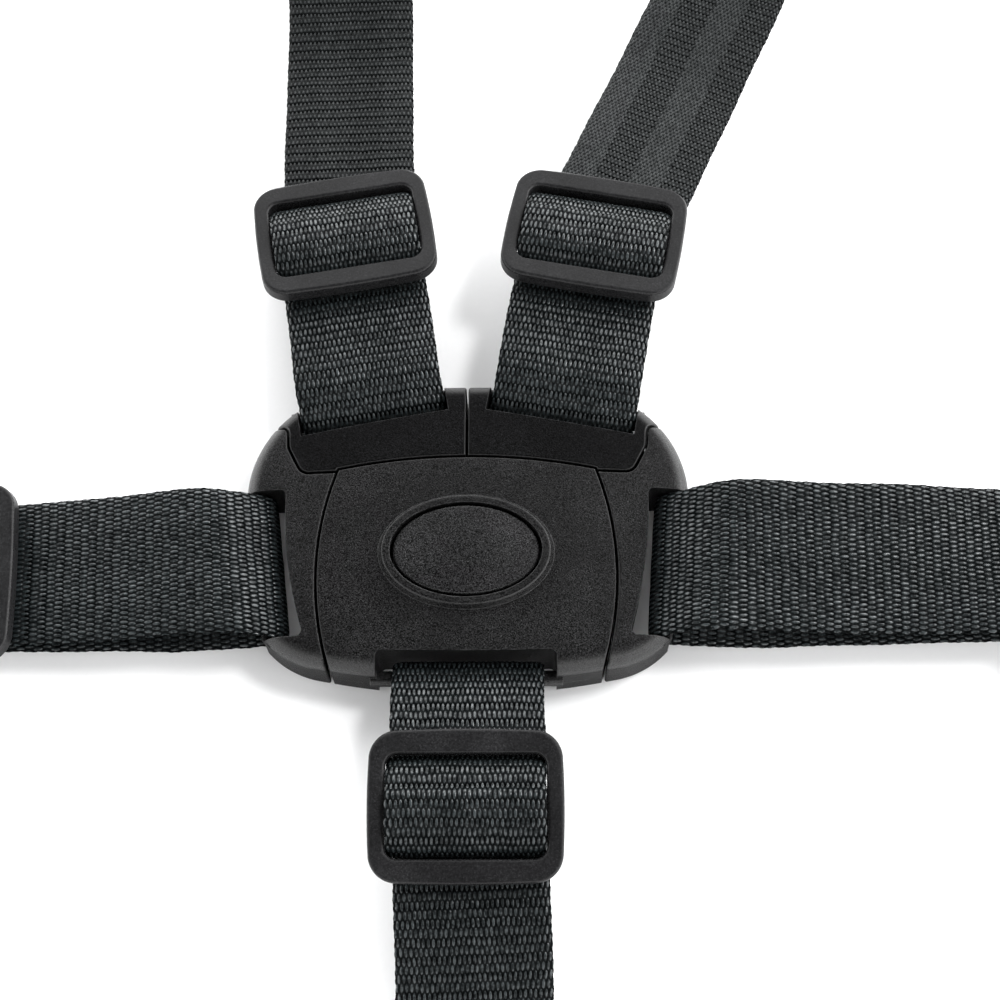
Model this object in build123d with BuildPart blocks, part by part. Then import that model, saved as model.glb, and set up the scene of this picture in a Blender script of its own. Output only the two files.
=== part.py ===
"""Five-point child-seat harness: centre-release buckle, five webbing straps and their adjusters.

The harness lies on its back. The origin is the centre of the buckle's flat back face, +X is to the
right seen from the front, +Y towards the shoulder straps and +Z out of the front. Left and right
in the names are as seen from the front. All lengths are in millimetres.
"""
import math
import os

from build123d import *

os.makedirs("parts", exist_ok=True)

# ---------------------------------------------------------------- driving dimensions

# Webbing
WEB_WIDTH = 25.0
WEB_THICK = 1.2
LAYER_PITCH = WEB_THICK + 0.15

# Buckle outline, right half, seen from the front
TOP_Y = 28.0
TOP_FLAT_X = 4.0
SHOULDER_CORNER = (29.6, 24.2)
SHOULDER_BULGE = (34.9, 18.4)
WAIST_TOP = (37.6, 9.2)
WAIST_MIDDLE = (36.7, -3.5)
WAIST_LOW = (35.0, -15.4)
LOW_BULGE = (31.7, -18.9)
LOW_CORNER = (24.5, -22.0)
BOTTOM_Y = -24.4

# Buckle thickness
FRONT_Z = 14.0
CROWN_RADIUS = 230.0
FRONT_ROUNDING = 4.0
BACK_ROUNDING = 1.0
PARTING_Z = 4.6
WALL = 1.8
FRONT_WALL = 2.0

# Seams between the cover and the tongues
SEAM_GAP = 0.4
SEAM_BREAK = 0.35
COVER_BREAK = 0.3
COVER_CORNER = (21.6, 11.7)
COVER_CROWN_Y = 13.6
COVER_SIDE = (24.8, -5.5)
COVER_FOOT = (21.2, -26.0)
TONGUE_SEAM_CORNER = (27.9, 11.65)
TONGUE_SEAM_SIDE = (30.3, 16.4)
TONGUE_SEAM_LIP = (30.5, 20.2)
TONGUE_SEAM_END = (37.0, 21.8)

# Release button
BUTTON_Y = -3.2
BUTTON_RADII = (12.15, 7.75)
BUTTON_GAP = 0.5
RIM_RADII = (13.9, 9.4)
RIM_BASE_RADII = (15.9, 11.2)
RIM_Z = 15.0
RIM_ROUNDING = 0.6
BUTTON_EDGE_Z = 14.3
BUTTON_TOP_Z = 15.3
BUTTON_CAP_BASE_Z = 11.6
STEM_RADIUS = 3.4
STEM_BORE = 2.7

# Latch
LOCK_PLATE_Z = 4.2
LOCK_PLATE_THICK = 1.0
LOCK_PLATE_SIZE = (28.0, 10.0)
TOOTH_X = 11.0
TOOTH_SIZE = (2.4, 5.0)
TOOTH_HEIGHT = 0.5
BLADE_Z = 6.0
BLADE_THICK = 2.4
BLADE_TIP_X = 5.2
BLADE_ROOT_X = 27.5
BLADE_LOW_Y = -10.0
BLADE_HIGH_Y = 6.5
PEG = (18.5, 4.4)
PEG_RADIUS = 1.9
TAB_X = (14.2, 21.0)
TAB_LOW_Y = 2.0
TAB_Z = 8.9
TAB_THICK = 2.0

# Springs
SPRING_WIRE = 0.25
RETURN_SPRING_RADIUS = 2.1
EJECTOR_Y = -8.4
EJECTOR_RADIUS = 1.4

# Housing screws
SCREW_POINTS = [(7.0, 9.3), (-7.0, 9.3), (18.6, -15.8), (-18.6, -15.8)]
SCREW_RADIUS = 1.05
SCREW_HEAD_RADIUS = 2.0
SCREW_HEAD_HEIGHT = 1.3
SCREW_END_Z = 9.6
BOSS_RADIUS = 2.3
SCREW_FIT = 0.05

# Webbing bars of the buckle
BAR_Z = 7.0
SLOT_LENGTH = WEB_WIDTH + 0.6
WAIST_BAR = (34.3, -4.2)
WAIST_BAR_SIZE = (1.8, 2.8)
WAIST_BAR_TILT = 5.0
WAIST_LOOP_RADIUS = 2.75
WAIST_SLOT_INNER = [(30.5, 8.6), (30.0, -2.5), (26.8, -17.0)]
SHOULDER_BAR = (16.5, 24.65)
SHOULDER_BAR_SIZE = (3.0, 4.2)
SHOULDER_BAR_TILT = 9.5
SHOULDER_LOOP_RADIUS = 3.2
SHOULDER_SLOT_REACH = 4.2
CROTCH_BAR_Y = -23.2
CROTCH_BAR_SIZE = (2.4, 3.0)
CROTCH_LOOP_RADIUS = 2.2
CROTCH_SLOT_WIDTH = 29.8
CROTCH_SLOT_TOP_Y = -19.6
CROTCH_SLOT_LIP = 0.4

# Adjusters
ADJUSTER_WIDTH = 31.2
ADJUSTER_LENGTH = 24.4
ADJUSTER_THICK = 2.8
ADJUSTER_CORNER = 4.6
ADJUSTER_WINDOW = (25.6, 16.4)
WINDOW_CORNER = 2.0
ADJUSTER_BOW = 0.5
TAIL_CLEARANCE = 0.1
CENTRE_BAR = (4.0, 1.8)
ADJUSTER_LIFT = 2.3
WRAP_LIFT = 1.4
WRAP_CREST = 6.1

# Anchor loops at the far ends
ANCHOR_LOOP_HEIGHT = 9.0
ANCHOR_LOOP_TOP = 5.0
ANCHOR_FLAP = 26.0

# One entry per strap: plan position of its bar, radius of its loop round that bar, heading from +X,
# heading of the tail beyond the adjuster, rise angle of each layer where it leaves the bar, run to the
# crest, adjuster's distance, height and slope, low point of the rear layer, distance where the tail
# meets the floor, and end.
STRAPS = {
    "crotch": {
        "bar": (0.25, CROTCH_BAR_Y), "loop": CROTCH_LOOP_RADIUS, "heading": -90.0, "tail_heading": -88.0,
        "front_rise": 26.0, "rear_rise": 18.0, "crest_run": 6.0,
        "adjuster": 22.3, "height": 11.2, "slope": -8.0,
        "rear_low": (9.0, 6.1), "floor": 63.0, "end": 93.0,
    },
    "shoulder_left": {
        "bar": (-SHOULDER_BAR[0], SHOULDER_BAR[1]), "loop": SHOULDER_LOOP_RADIUS,
        "heading": 99.5, "tail_heading": 93.0,
        "front_rise": 18.0, "rear_rise": 2.0, "crest_run": 7.0,
        "adjuster": 31.4, "height": 9.0, "slope": -11.0,
        "rear_low": (14.0, 4.3), "floor": 74.0, "end": 120.0,
    },
    "shoulder_right": {
        "bar": (SHOULDER_BAR[0], SHOULDER_BAR[1]), "loop": SHOULDER_LOOP_RADIUS,
        "heading": 79.5, "tail_heading": 67.0,
        "front_rise": 18.0, "rear_rise": 2.0, "crest_run": 7.0,
        "adjuster": 31.0, "height": 9.0, "slope": -11.0,
        "rear_low": (14.0, 4.3), "floor": 74.0, "end": 130.0,
    },
    "waist_left": {
        "bar": (-WAIST_BAR[0], WAIST_BAR[1]), "loop": WAIST_LOOP_RADIUS,
        "heading": 182.0, "tail_heading": 182.0,
        "front_rise": 32.0, "rear_rise": -8.0, "crest_run": 8.0,
        "adjuster": 52.4, "height": 6.8, "slope": -8.5,
        "rear_low": (16.0, 1.5), "floor": 91.0, "end": 123.0,
    },
    "waist_right": {
        "bar": (WAIST_BAR[0], WAIST_BAR[1]), "loop": WAIST_LOOP_RADIUS,
        "heading": 0.0, "tail_heading": 0.0,
        "front_rise": 35.0, "rear_rise": -8.0, "crest_run": 9.5,
        "adjuster": 72.0, "height": 8.4, "slope": -7.0,
        "rear_low": (18.0, 1.5), "floor": 112.0, "end": 140.0,
    },
}


# ---------------------------------------------------------------- helpers

def save(builder, name):
    """Label a finished piece and write it as one STEP file."""
    builder.part.label = name
    export_step(builder.part, f"parts/{name}.step")


def side_plane(origin, heading):
    """Vertical plane through a plan point: local X runs along the heading, local Y is up."""
    angle = math.radians(heading)
    return Plane(
        origin=(origin[0], origin[1], 0),
        x_dir=(math.cos(angle), math.sin(angle), 0),
        z_dir=(math.sin(angle), -math.cos(angle), 0),
    )


def along(point, heading, distance):
    """Plan point at a distance from another one along a heading."""
    angle = math.radians(heading)
    return (point[0] + distance * math.cos(angle), point[1] + distance * math.sin(angle))


# ---------------------------------------------------------------- buckle form and its seams

with BuildSketch() as buckle_outline:
    with BuildLine():
        Line((0, TOP_Y), (TOP_FLAT_X, TOP_Y))
        Line((TOP_FLAT_X, TOP_Y), SHOULDER_CORNER)
        ThreePointArc(SHOULDER_CORNER, SHOULDER_BULGE, WAIST_TOP)
        ThreePointArc(WAIST_TOP, WAIST_MIDDLE, WAIST_LOW)
        ThreePointArc(WAIST_LOW, LOW_BULGE, LOW_CORNER)
        TangentArc((0, BOTTOM_Y), LOW_CORNER, tangent=(1, 0))
        mirror(about=Plane.YZ)
    make_face()

with BuildPart() as buckle_form:
    extrude(buckle_outline.sketch, amount=FRONT_Z)
    with Locations((0, 0, FRONT_Z - CROWN_RADIUS)):
        Sphere(CROWN_RADIUS, mode=Mode.INTERSECT)
    fillet(buckle_form.faces().sort_by(Axis.Z)[-1].edges(), FRONT_ROUNDING)
    fillet(buckle_form.faces().sort_by(Axis.Z)[0].edges(), BACK_ROUNDING)

with BuildSketch() as cover_region:
    with BuildLine():
        ThreePointArc(
            (-COVER_CORNER[0], COVER_CORNER[1]), (0, COVER_CROWN_Y), COVER_CORNER
        )
        ThreePointArc(COVER_CORNER, COVER_SIDE, COVER_FOOT)
        Line(COVER_FOOT, (-COVER_FOOT[0], COVER_FOOT[1]))
        ThreePointArc(
            (-COVER_FOOT[0], COVER_FOOT[1]),
            (-COVER_SIDE[0], COVER_SIDE[1]),
            (-COVER_CORNER[0], COVER_CORNER[1]),
        )
    make_face()

with BuildSketch() as cavity_region:
    add(cover_region.sketch)
    with Locations((0, CROTCH_SLOT_TOP_Y)):
        Rectangle(80, 60, align=(Align.CENTER, Align.MIN), mode=Mode.INTERSECT)
    offset(amount=-WALL)

with BuildSketch() as crotch_slot:
    with BuildLine():
        half = CROTCH_SLOT_WIDTH / 2
        ThreePointArc(
            (-half, CROTCH_SLOT_TOP_Y), (0, CROTCH_SLOT_TOP_Y - CROTCH_SLOT_LIP), (half, CROTCH_SLOT_TOP_Y)
        )
        Polyline(
            (half, CROTCH_SLOT_TOP_Y), (half, BOTTOM_Y - 3), (-half, BOTTOM_Y - 3),
            (-half, CROTCH_SLOT_TOP_Y),
        )
    make_face()
    fillet(crotch_slot.vertices().group_by(Axis.Y)[-1], 1.2)

with BuildSketch() as cover_clearance:
    offset(cover_region.sketch, amount=SEAM_GAP, kind=Kind.INTERSECTION)

with BuildSketch() as shoulder_region:
    with BuildLine():
        FilletPolyline(
            (-SEAM_GAP / 2, TONGUE_SEAM_CORNER[1]),
            (-TONGUE_SEAM_CORNER[0], TONGUE_SEAM_CORNER[1]),
            (-TONGUE_SEAM_SIDE[0], TONGUE_SEAM_SIDE[1]),
            (-TONGUE_SEAM_LIP[0], TONGUE_SEAM_LIP[1]),
            (-TONGUE_SEAM_END[0], TONGUE_SEAM_END[1]),
            radius=[2.0, 3.0, 1.5],
        )
        Polyline(
            (-TONGUE_SEAM_END[0], TONGUE_SEAM_END[1]), (-TONGUE_SEAM_END[0], TOP_Y + 4),
            (-SEAM_GAP / 2, TOP_Y + 4), (-SEAM_GAP / 2, TONGUE_SEAM_CORNER[1]),
        )
    make_face()
    add(cover_clearance.sketch, mode=Mode.SUBTRACT)

with BuildSketch() as shoulder_clearance:
    offset(shoulder_region.sketch, amount=SEAM_GAP)


# ---------------------------------------------------------------- housing

with BuildPart() as front_cover:
    add(buckle_form.part)
    extrude(cover_region.sketch, amount=FRONT_Z, mode=Mode.INTERSECT)
    fillet(front_cover.faces().sort_by(Axis.Z)[-1].edges(), COVER_BREAK)
    with BuildSketch(Plane.XY.offset(FRONT_Z - 3)):
        with Locations((0, BUTTON_Y)):
            Ellipse(*RIM_BASE_RADII)
    with BuildSketch(Plane.XY.offset(RIM_Z)):
        with Locations((0, BUTTON_Y)):
            Ellipse(*RIM_RADII)
    loft()
    fillet(front_cover.faces().sort_by(Axis.Z)[-1].edges(), RIM_ROUNDING)
    extrude(cavity_region.sketch, amount=FRONT_Z - FRONT_WALL, mode=Mode.SUBTRACT)
    for x, y in SCREW_POINTS:
        with BuildSketch(Plane.XY.offset(PARTING_Z)):
            with Locations((x, y)):
                Circle(BOSS_RADIUS)
        extrude(amount=FRONT_Z - FRONT_WALL - PARTING_Z)
    with BuildSketch():
        Rectangle(90, 90)
    extrude(amount=PARTING_Z, mode=Mode.SUBTRACT)
    with BuildSketch():
        with Locations(*SCREW_POINTS):
            Circle(SCREW_RADIUS + SCREW_FIT)
    extrude(amount=SCREW_END_Z + 0.4, mode=Mode.SUBTRACT)
    with BuildSketch(Plane.XY.offset(PARTING_Z)):
        with Locations((0, BUTTON_Y)):
            Ellipse(BUTTON_RADII[0] + BUTTON_GAP, BUTTON_RADII[1] + BUTTON_GAP)
    extrude(amount=FRONT_Z, mode=Mode.SUBTRACT)
    extrude(crotch_slot.sketch, amount=FRONT_Z, mode=Mode.SUBTRACT)
    with BuildSketch(Plane.XY.offset(PARTING_Z)):
        with Locations((0, BLADE_LOW_Y - SEAM_GAP)):
            Rectangle(90, 40, align=(Align.CENTER, Align.MIN))
            Rectangle(
                2 * (TAB_X[0] - SEAM_GAP), 40, align=(Align.CENTER, Align.MIN), mode=Mode.SUBTRACT
            )
    extrude(amount=TAB_Z + TAB_THICK + SEAM_GAP - PARTING_Z, mode=Mode.SUBTRACT)
    with BuildSketch(Plane.YZ):
        with Locations((CROTCH_BAR_Y, BAR_Z)):
            RectangleRounded(*CROTCH_BAR_SIZE, CROTCH_BAR_SIZE[0] / 2 - 0.05)
    extrude(amount=CROTCH_SLOT_WIDTH / 2 + 1.0, both=True)
save(front_cover, "front_cover")

with BuildPart() as back_cover:
    add(buckle_form.part)
    extrude(cover_region.sketch, amount=PARTING_Z - 0.01, mode=Mode.INTERSECT)
    with BuildSketch(Plane.XY.offset(WALL)):
        add(cavity_region.sketch)
    extrude(amount=FRONT_Z, mode=Mode.SUBTRACT)
    with BuildSketch(Plane.XY.offset(WALL)):
        with Locations(*SCREW_POINTS):
            Circle(BOSS_RADIUS)
    extrude(amount=PARTING_Z - WALL - 0.01)
    with BuildSketch(Plane.XY.offset(WALL)):
        for side in (-1, 1):
            with Locations((side * 14.0, BLADE_LOW_Y - 0.2)):
                Rectangle(16.0, 1.4)
            with Locations((side * 14.0, 3.6)):
                Rectangle(16.0, 1.2)
    extrude(amount=BLADE_Z - SEAM_GAP / 2 - WALL)
    with BuildSketch(Plane.XY.offset(WALL)):
        with Locations((0, BUTTON_Y)):
            Circle(RETURN_SPRING_RADIUS - SPRING_WIRE - 0.25)
    extrude(amount=3.0)
    with BuildSketch():
        with Locations(*SCREW_POINTS):
            Circle(SCREW_RADIUS + SCREW_FIT)
    extrude(amount=FRONT_Z, mode=Mode.SUBTRACT)
    with BuildSketch():
        with Locations(*SCREW_POINTS):
            Circle(SCREW_HEAD_RADIUS + 0.3)
    extrude(amount=SCREW_HEAD_HEIGHT + 0.3, mode=Mode.SUBTRACT)
    extrude(crotch_slot.sketch, amount=FRONT_Z, mode=Mode.SUBTRACT)
save(back_cover, "back_cover")

with BuildPart() as housing_screws:
    for x, y in SCREW_POINTS:
        with BuildSketch(Plane.XY.offset(0.3)):
            with Locations((x, y)):
                Circle(SCREW_HEAD_RADIUS)
        extrude(amount=SCREW_HEAD_HEIGHT)
        with BuildSketch(Plane.XY.offset(0.3)):
            with Locations((x, y)):
                Circle(SCREW_RADIUS)
        extrude(amount=SCREW_END_Z - 0.3)
        with BuildSketch(Plane.XY.offset(0.3)):
            with Locations((x, y)):
                Rectangle(2.2, 0.6)
                Rectangle(0.6, 2.2)
        extrude(amount=0.7, mode=Mode.SUBTRACT)
save(housing_screws, "housing_screws")


# ---------------------------------------------------------------- release button and latch

with BuildPart() as release_button:
    with BuildSketch(Plane.XY.offset(BUTTON_CAP_BASE_Z)):
        with Locations((0, BUTTON_Y)):
            Ellipse(*BUTTON_RADII)
    extrude(amount=BUTTON_TOP_Z - BUTTON_CAP_BASE_Z)
    crown_radius = BUTTON_RADII[0] ** 2 / (2 * (BUTTON_TOP_Z - BUTTON_EDGE_Z))
    with Locations((0, BUTTON_Y, BUTTON_TOP_Z - crown_radius)):
        Sphere(crown_radius, mode=Mode.INTERSECT)
    fillet(release_button.faces().sort_by(Axis.Z)[-1].edges(), 0.5)
    with BuildSketch(Plane.XY.offset(LOCK_PLATE_Z + LOCK_PLATE_THICK)):
        with Locations((0, BUTTON_Y)):
            Circle(STEM_RADIUS)
    extrude(amount=BUTTON_CAP_BASE_Z - LOCK_PLATE_Z - LOCK_PLATE_THICK)
    with BuildSketch(Plane.XY.offset(LOCK_PLATE_Z)):
        with Locations((0, BUTTON_Y)):
            Circle(STEM_BORE)
    extrude(amount=BUTTON_CAP_BASE_Z - LOCK_PLATE_Z, mode=Mode.SUBTRACT)
save(release_button, "release_button")

with BuildPart() as lock_plate:
    with BuildSketch(Plane.XY.offset(LOCK_PLATE_Z)):
        with Locations((0, BUTTON_Y)):
            RectangleRounded(*LOCK_PLATE_SIZE, 1.5)
            Circle(STEM_BORE, mode=Mode.SUBTRACT)
    extrude(amount=LOCK_PLATE_THICK)
    with BuildSketch(Plane.XY.offset(LOCK_PLATE_Z + LOCK_PLATE_THICK)):
        with Locations((TOOTH_X, BUTTON_Y), (-TOOTH_X, BUTTON_Y)):
            Rectangle(*TOOTH_SIZE)
    extrude(amount=TOOTH_HEIGHT)
save(lock_plate, "lock_plate")

with BuildPart() as button_spring:
    with BuildLine():
        spring_line = Helix(
            pitch=1.5, height=9.0, radius=RETURN_SPRING_RADIUS,
            center=(0, BUTTON_Y, WALL + SPRING_WIRE + 0.05),
        )
    with BuildSketch(Plane(origin=spring_line @ 0, z_dir=spring_line % 0)):
        Circle(SPRING_WIRE)
    sweep(is_frenet=True)
save(button_spring, "button_spring")

with BuildPart() as ejector_spring:
    with BuildLine():
        spring_line = Helix(
            pitch=1.2, height=2 * BLADE_TIP_X - 1.2, radius=EJECTOR_RADIUS - SPRING_WIRE,
            center=(-BLADE_TIP_X + 0.6, EJECTOR_Y - 0.6, BLADE_Z + BLADE_THICK / 2), direction=(1, 0, 0),
        )
    with BuildSketch(Plane(origin=spring_line @ 0, z_dir=spring_line % 0)):
        Circle(SPRING_WIRE)
    sweep(is_frenet=True)
save(ejector_spring, "ejector_spring")


# ---------------------------------------------------------------- tongues

def bar_plane(centre, tilt):
    """Plan plane of a tongue's webbing bar: local X runs along the bar."""
    return Plane(origin=(centre[0], centre[1], 0), z_dir=(0, 0, 1)).rotated((0, 0, tilt))


# The left shoulder tongue's bar rises towards the centre line; the left waist tongue's stands
# nearly upright, its top leaning outwards.
SHOULDER_BAR_PLANE = bar_plane((-SHOULDER_BAR[0], SHOULDER_BAR[1]), SHOULDER_BAR_TILT)
WAIST_BAR_PLANE = bar_plane((-WAIST_BAR[0], WAIST_BAR[1]), 90.0 + WAIST_BAR_TILT)

with BuildPart() as waist_tongue_left:
    add(buckle_form.part)
    with BuildSketch() as waist_region:
        Rectangle(80, 80, align=(Align.MAX, Align.CENTER))
        add(cover_clearance.sketch, mode=Mode.SUBTRACT)
        add(shoulder_clearance.sketch, mode=Mode.SUBTRACT)
        with Locations((0, TOP_Y)):
            Rectangle(2 * COVER_CORNER[0], 40, mode=Mode.SUBTRACT)
    extrude(amount=FRONT_Z, mode=Mode.INTERSECT)
    fillet(waist_tongue_left.faces().sort_by(Axis.Z)[-1].edges(), SEAM_BREAK)
    with BuildSketch() as waist_slot:
        with BuildLine():
            slot_top, slot_middle, slot_low = [(-x, y) for x, y in WAIST_SLOT_INNER]
            ThreePointArc(slot_top, slot_middle, slot_low)
            Polyline(slot_low, (-50, slot_low[1]), (-50, slot_top[1]), slot_top)
        make_face()
        fillet(waist_slot.vertices().filter_by_position(Axis.X, -32, -26), 1.0)
    extrude(amount=FRONT_Z, mode=Mode.SUBTRACT)
    with BuildSketch(WAIST_BAR_PLANE * Plane.YZ):
        with Locations((0, BAR_Z)):
            RectangleRounded(*WAIST_BAR_SIZE, WAIST_BAR_SIZE[0] / 2 - 0.05)
    extrude(amount=SLOT_LENGTH / 2 + 1.2, both=True)
    extrude(buckle_outline.sketch, amount=FRONT_Z, mode=Mode.INTERSECT)
    with BuildSketch(Plane.XY.offset(BLADE_Z)) as blade:
        with BuildLine():
            Polyline(
                (-BLADE_ROOT_X, BLADE_LOW_Y), (-BLADE_TIP_X - 1.5, BLADE_LOW_Y),
                (-BLADE_TIP_X, BLADE_LOW_Y + 1.5), (-BLADE_TIP_X, BLADE_HIGH_Y - 1.5),
                (-BLADE_TIP_X - 1.5, BLADE_HIGH_Y), (-BLADE_ROOT_X, BLADE_HIGH_Y),
                close=True,
            )
        make_face()
        with Locations((-TOOTH_X, BUTTON_Y)):
            Rectangle(TOOTH_SIZE[0] + 1.2, TOOTH_SIZE[1] + 1.2, mode=Mode.SUBTRACT)
        with Locations((-PEG[0], PEG[1])):
            Circle(PEG_RADIUS + 0.35, mode=Mode.SUBTRACT)
            Rectangle(
                2 * PEG_RADIUS + 0.7, 8.0, align=(Align.CENTER, Align.MIN), mode=Mode.SUBTRACT
            )
    extrude(amount=BLADE_THICK)
save(waist_tongue_left, "waist_tongue_left")

with BuildPart() as shoulder_tongue_left:
    add(buckle_form.part)
    extrude(shoulder_region.sketch, amount=FRONT_Z, mode=Mode.INTERSECT)
    fillet(shoulder_tongue_left.faces().sort_by(Axis.Z)[-1].edges(), SEAM_BREAK)
    with BuildSketch(SHOULDER_BAR_PLANE):
        with Locations((0, -SHOULDER_SLOT_REACH)):
            Rectangle(SLOT_LENGTH, 30, align=(Align.CENTER, Align.MIN))
    extrude(amount=FRONT_Z, mode=Mode.SUBTRACT)
    with BuildSketch(SHOULDER_BAR_PLANE * Plane.YZ):
        with Locations((0, BAR_Z)):
            RectangleRounded(*SHOULDER_BAR_SIZE, SHOULDER_BAR_SIZE[0] / 2 - 0.05)
    extrude(amount=SLOT_LENGTH / 2 + 1.2, both=True)
    with BuildSketch(Plane.XY.offset(TAB_Z)):
        with Locations((-(TAB_X[0] + TAB_X[1]) / 2, TAB_LOW_Y)):
            Rectangle(TAB_X[1] - TAB_X[0], 16.0 - TAB_LOW_Y, align=(Align.CENTER, Align.MIN))
    extrude(amount=TAB_THICK)
    with BuildSketch(Plane.XY.offset(BLADE_Z + 0.1)):
        with Locations((-PEG[0], PEG[1])):
            Circle(PEG_RADIUS)
    extrude(amount=TAB_Z - BLADE_Z - 0.1)
save(shoulder_tongue_left, "shoulder_tongue_left")

with BuildPart() as waist_tongue_right:
    mirror(waist_tongue_left.part, about=Plane.YZ)
save(waist_tongue_right, "waist_tongue_right")

with BuildPart() as shoulder_tongue_right:
    mirror(shoulder_tongue_left.part, about=Plane.YZ)
save(shoulder_tongue_right, "shoulder_tongue_right")


# ---------------------------------------------------------------- straps and adjusters

def adjuster_plane(strap):
    """Plane of the strap's middle surface at its adjuster: local X runs outwards along the strap."""
    heading = math.radians(strap["heading"])
    slope = math.radians(strap["slope"])
    point = along(strap["bar"], strap["heading"], strap["adjuster"])
    return Plane(
        origin=(point[0], point[1], strap["height"]),
        x_dir=(math.cos(heading) * math.cos(slope), math.sin(heading) * math.cos(slope), math.sin(slope)),
        z_dir=(-math.cos(heading) * math.sin(slope), -math.sin(heading) * math.sin(slope), math.cos(slope)),
    )


def on_adjuster_slope(strap, distance, drop=0.0):
    """Side-plane point on the straight stretch under the adjuster, or a drop below that stretch."""
    slope = math.radians(strap["slope"])
    return (
        strap["adjuster"] + distance * math.cos(slope) + drop * math.sin(slope),
        strap["height"] + distance * math.sin(slope) - drop * math.cos(slope),
    )


def make_strap(strap):
    """Webbing ribbon: loop round the buckle's bar, stretch under the adjuster, tail and anchor loop."""
    reach = ADJUSTER_LENGTH / 2
    rise = math.radians(strap["front_rise"])
    fall = math.radians(strap["rear_rise"])
    loop = strap["loop"]
    front_tangent = (-loop * math.sin(rise), BAR_Z + loop * math.cos(rise))
    rear_tangent = (loop * math.sin(fall), BAR_Z - loop * math.cos(fall))
    crest = (
        front_tangent[0] + strap["crest_run"] * math.cos(rise),
        front_tangent[1] + strap["crest_run"] * math.sin(rise),
    )
    loop_plane = side_plane(strap["bar"], strap["heading"])
    adjuster_point = along(strap["bar"], strap["heading"], strap["adjuster"])
    tail_origin = along(adjuster_point, strap["tail_heading"], -strap["adjuster"])
    tail_plane = side_plane(tail_origin, strap["tail_heading"])
    floor_z = WEB_THICK / 2
    flap_z = floor_z + LAYER_PITCH
    loop_top_z = floor_z + ANCHOR_LOOP_HEIGHT
    loop_end = strap["end"] + ANCHOR_LOOP_HEIGHT / 2
    turn = math.radians(strap["tail_heading"] - strap["heading"])
    lateral_slope = abs(math.sin(turn) * math.tan(math.radians(strap["slope"])))
    drop = 0.0 if turn == 0 else lateral_slope * WEB_WIDTH / 2 + TAIL_CLEARANCE

    with BuildPart() as webbing:
        with BuildSketch(loop_plane):
            with BuildLine():
                FilletPolyline(
                    on_adjuster_slope(strap, reach + 4.5), on_adjuster_slope(strap, -reach), crest,
                    front_tangent, radius=12.0,
                )
                ThreePointArc(front_tangent, (-loop, BAR_Z), rear_tangent)
                FilletPolyline(
                    rear_tangent, strap["rear_low"], on_adjuster_slope(strap, -2.0, LAYER_PITCH),
                    on_adjuster_slope(strap, reach - 2.0, LAYER_PITCH), radius=8.0,
                )
                offset(amount=WEB_THICK / 2, side=Side.BOTH)
            make_face()
        extrude(amount=WEB_WIDTH / 2, both=True)
        with BuildSketch(tail_plane):
            with BuildLine():
                FilletPolyline(
                    (strap["end"] - ANCHOR_FLAP, flap_z), (strap["end"] - ANCHOR_FLAP / 2, flap_z),
                    (strap["end"] - ANCHOR_LOOP_TOP, loop_top_z), (loop_end, loop_top_z), (loop_end, floor_z),
                    (strap["floor"], floor_z), on_adjuster_slope(strap, reach + 6.0, drop),
                    on_adjuster_slope(strap, reach, drop),
                    radius=[8.0, 4.4, 4.4, 4.4, 40.0, 20.0],
                )
                offset(amount=WEB_THICK / 2, side=Side.BOTH)
            make_face()
        extrude(amount=WEB_WIDTH / 2, both=True)
    return webbing


def make_adjuster(strap):
    """Tri-glide adjuster: frame with four bowed sides, a window and a bar across its middle."""
    plane = adjuster_plane(strap).offset(ADJUSTER_LIFT)
    half_length = ADJUSTER_LENGTH / 2
    half_width = ADJUSTER_WIDTH / 2 - ADJUSTER_BOW
    with BuildPart() as adjuster:
        with BuildSketch(plane) as frame_outline:
            with BuildLine():
                ThreePointArc(
                    (half_length - ADJUSTER_BOW, half_width), (half_length, 0),
                    (half_length - ADJUSTER_BOW, -half_width),
                )
                ThreePointArc(
                    (half_length - ADJUSTER_BOW, -half_width), (0, -half_width - ADJUSTER_BOW),
                    (ADJUSTER_BOW - half_length, -half_width),
                )
                ThreePointArc(
                    (ADJUSTER_BOW - half_length, -half_width), (-half_length, 0),
                    (ADJUSTER_BOW - half_length, half_width),
                )
                ThreePointArc(
                    (ADJUSTER_BOW - half_length, half_width), (0, half_width + ADJUSTER_BOW),
                    (half_length - ADJUSTER_BOW, half_width),
                )
            make_face()
            fillet(frame_outline.vertices(), ADJUSTER_CORNER)
            RectangleRounded(ADJUSTER_WINDOW[1], ADJUSTER_WINDOW[0], WINDOW_CORNER, mode=Mode.SUBTRACT)
        extrude(amount=ADJUSTER_THICK)
        fillet(adjuster.edges(), 0.6)
        with BuildSketch(plane.offset(0.6)):
            RectangleRounded(CENTRE_BAR[0], ADJUSTER_WINDOW[0] + 2.0, 0.6)
        extrude(amount=CENTRE_BAR[1])
    return adjuster


def make_wrap(strap):
    """Webbing drawn up through the adjuster's window and over its centre bar."""
    plane = adjuster_plane(strap)
    crest = (WRAP_CREST - WRAP_LIFT) / math.tan(math.radians(56.0))
    foot = ADJUSTER_WINDOW[1] / 2 - 0.6
    with BuildPart() as wrap:
        with BuildSketch(plane * Plane.XZ):
            with BuildLine():
                FilletPolyline(
                    (-foot - 1.4, WRAP_LIFT), (-foot, WRAP_LIFT), (crest - foot, WRAP_CREST),
                    (foot - crest, WRAP_CREST), (foot, WRAP_LIFT), (foot + 1.4, WRAP_LIFT),
                    radius=[1.2, 4.2, 4.2, 1.2],
                )
                offset(amount=WEB_THICK / 2, side=Side.BOTH)
            make_face()
        extrude(amount=WEB_WIDTH / 2, both=True)
    return wrap


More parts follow.
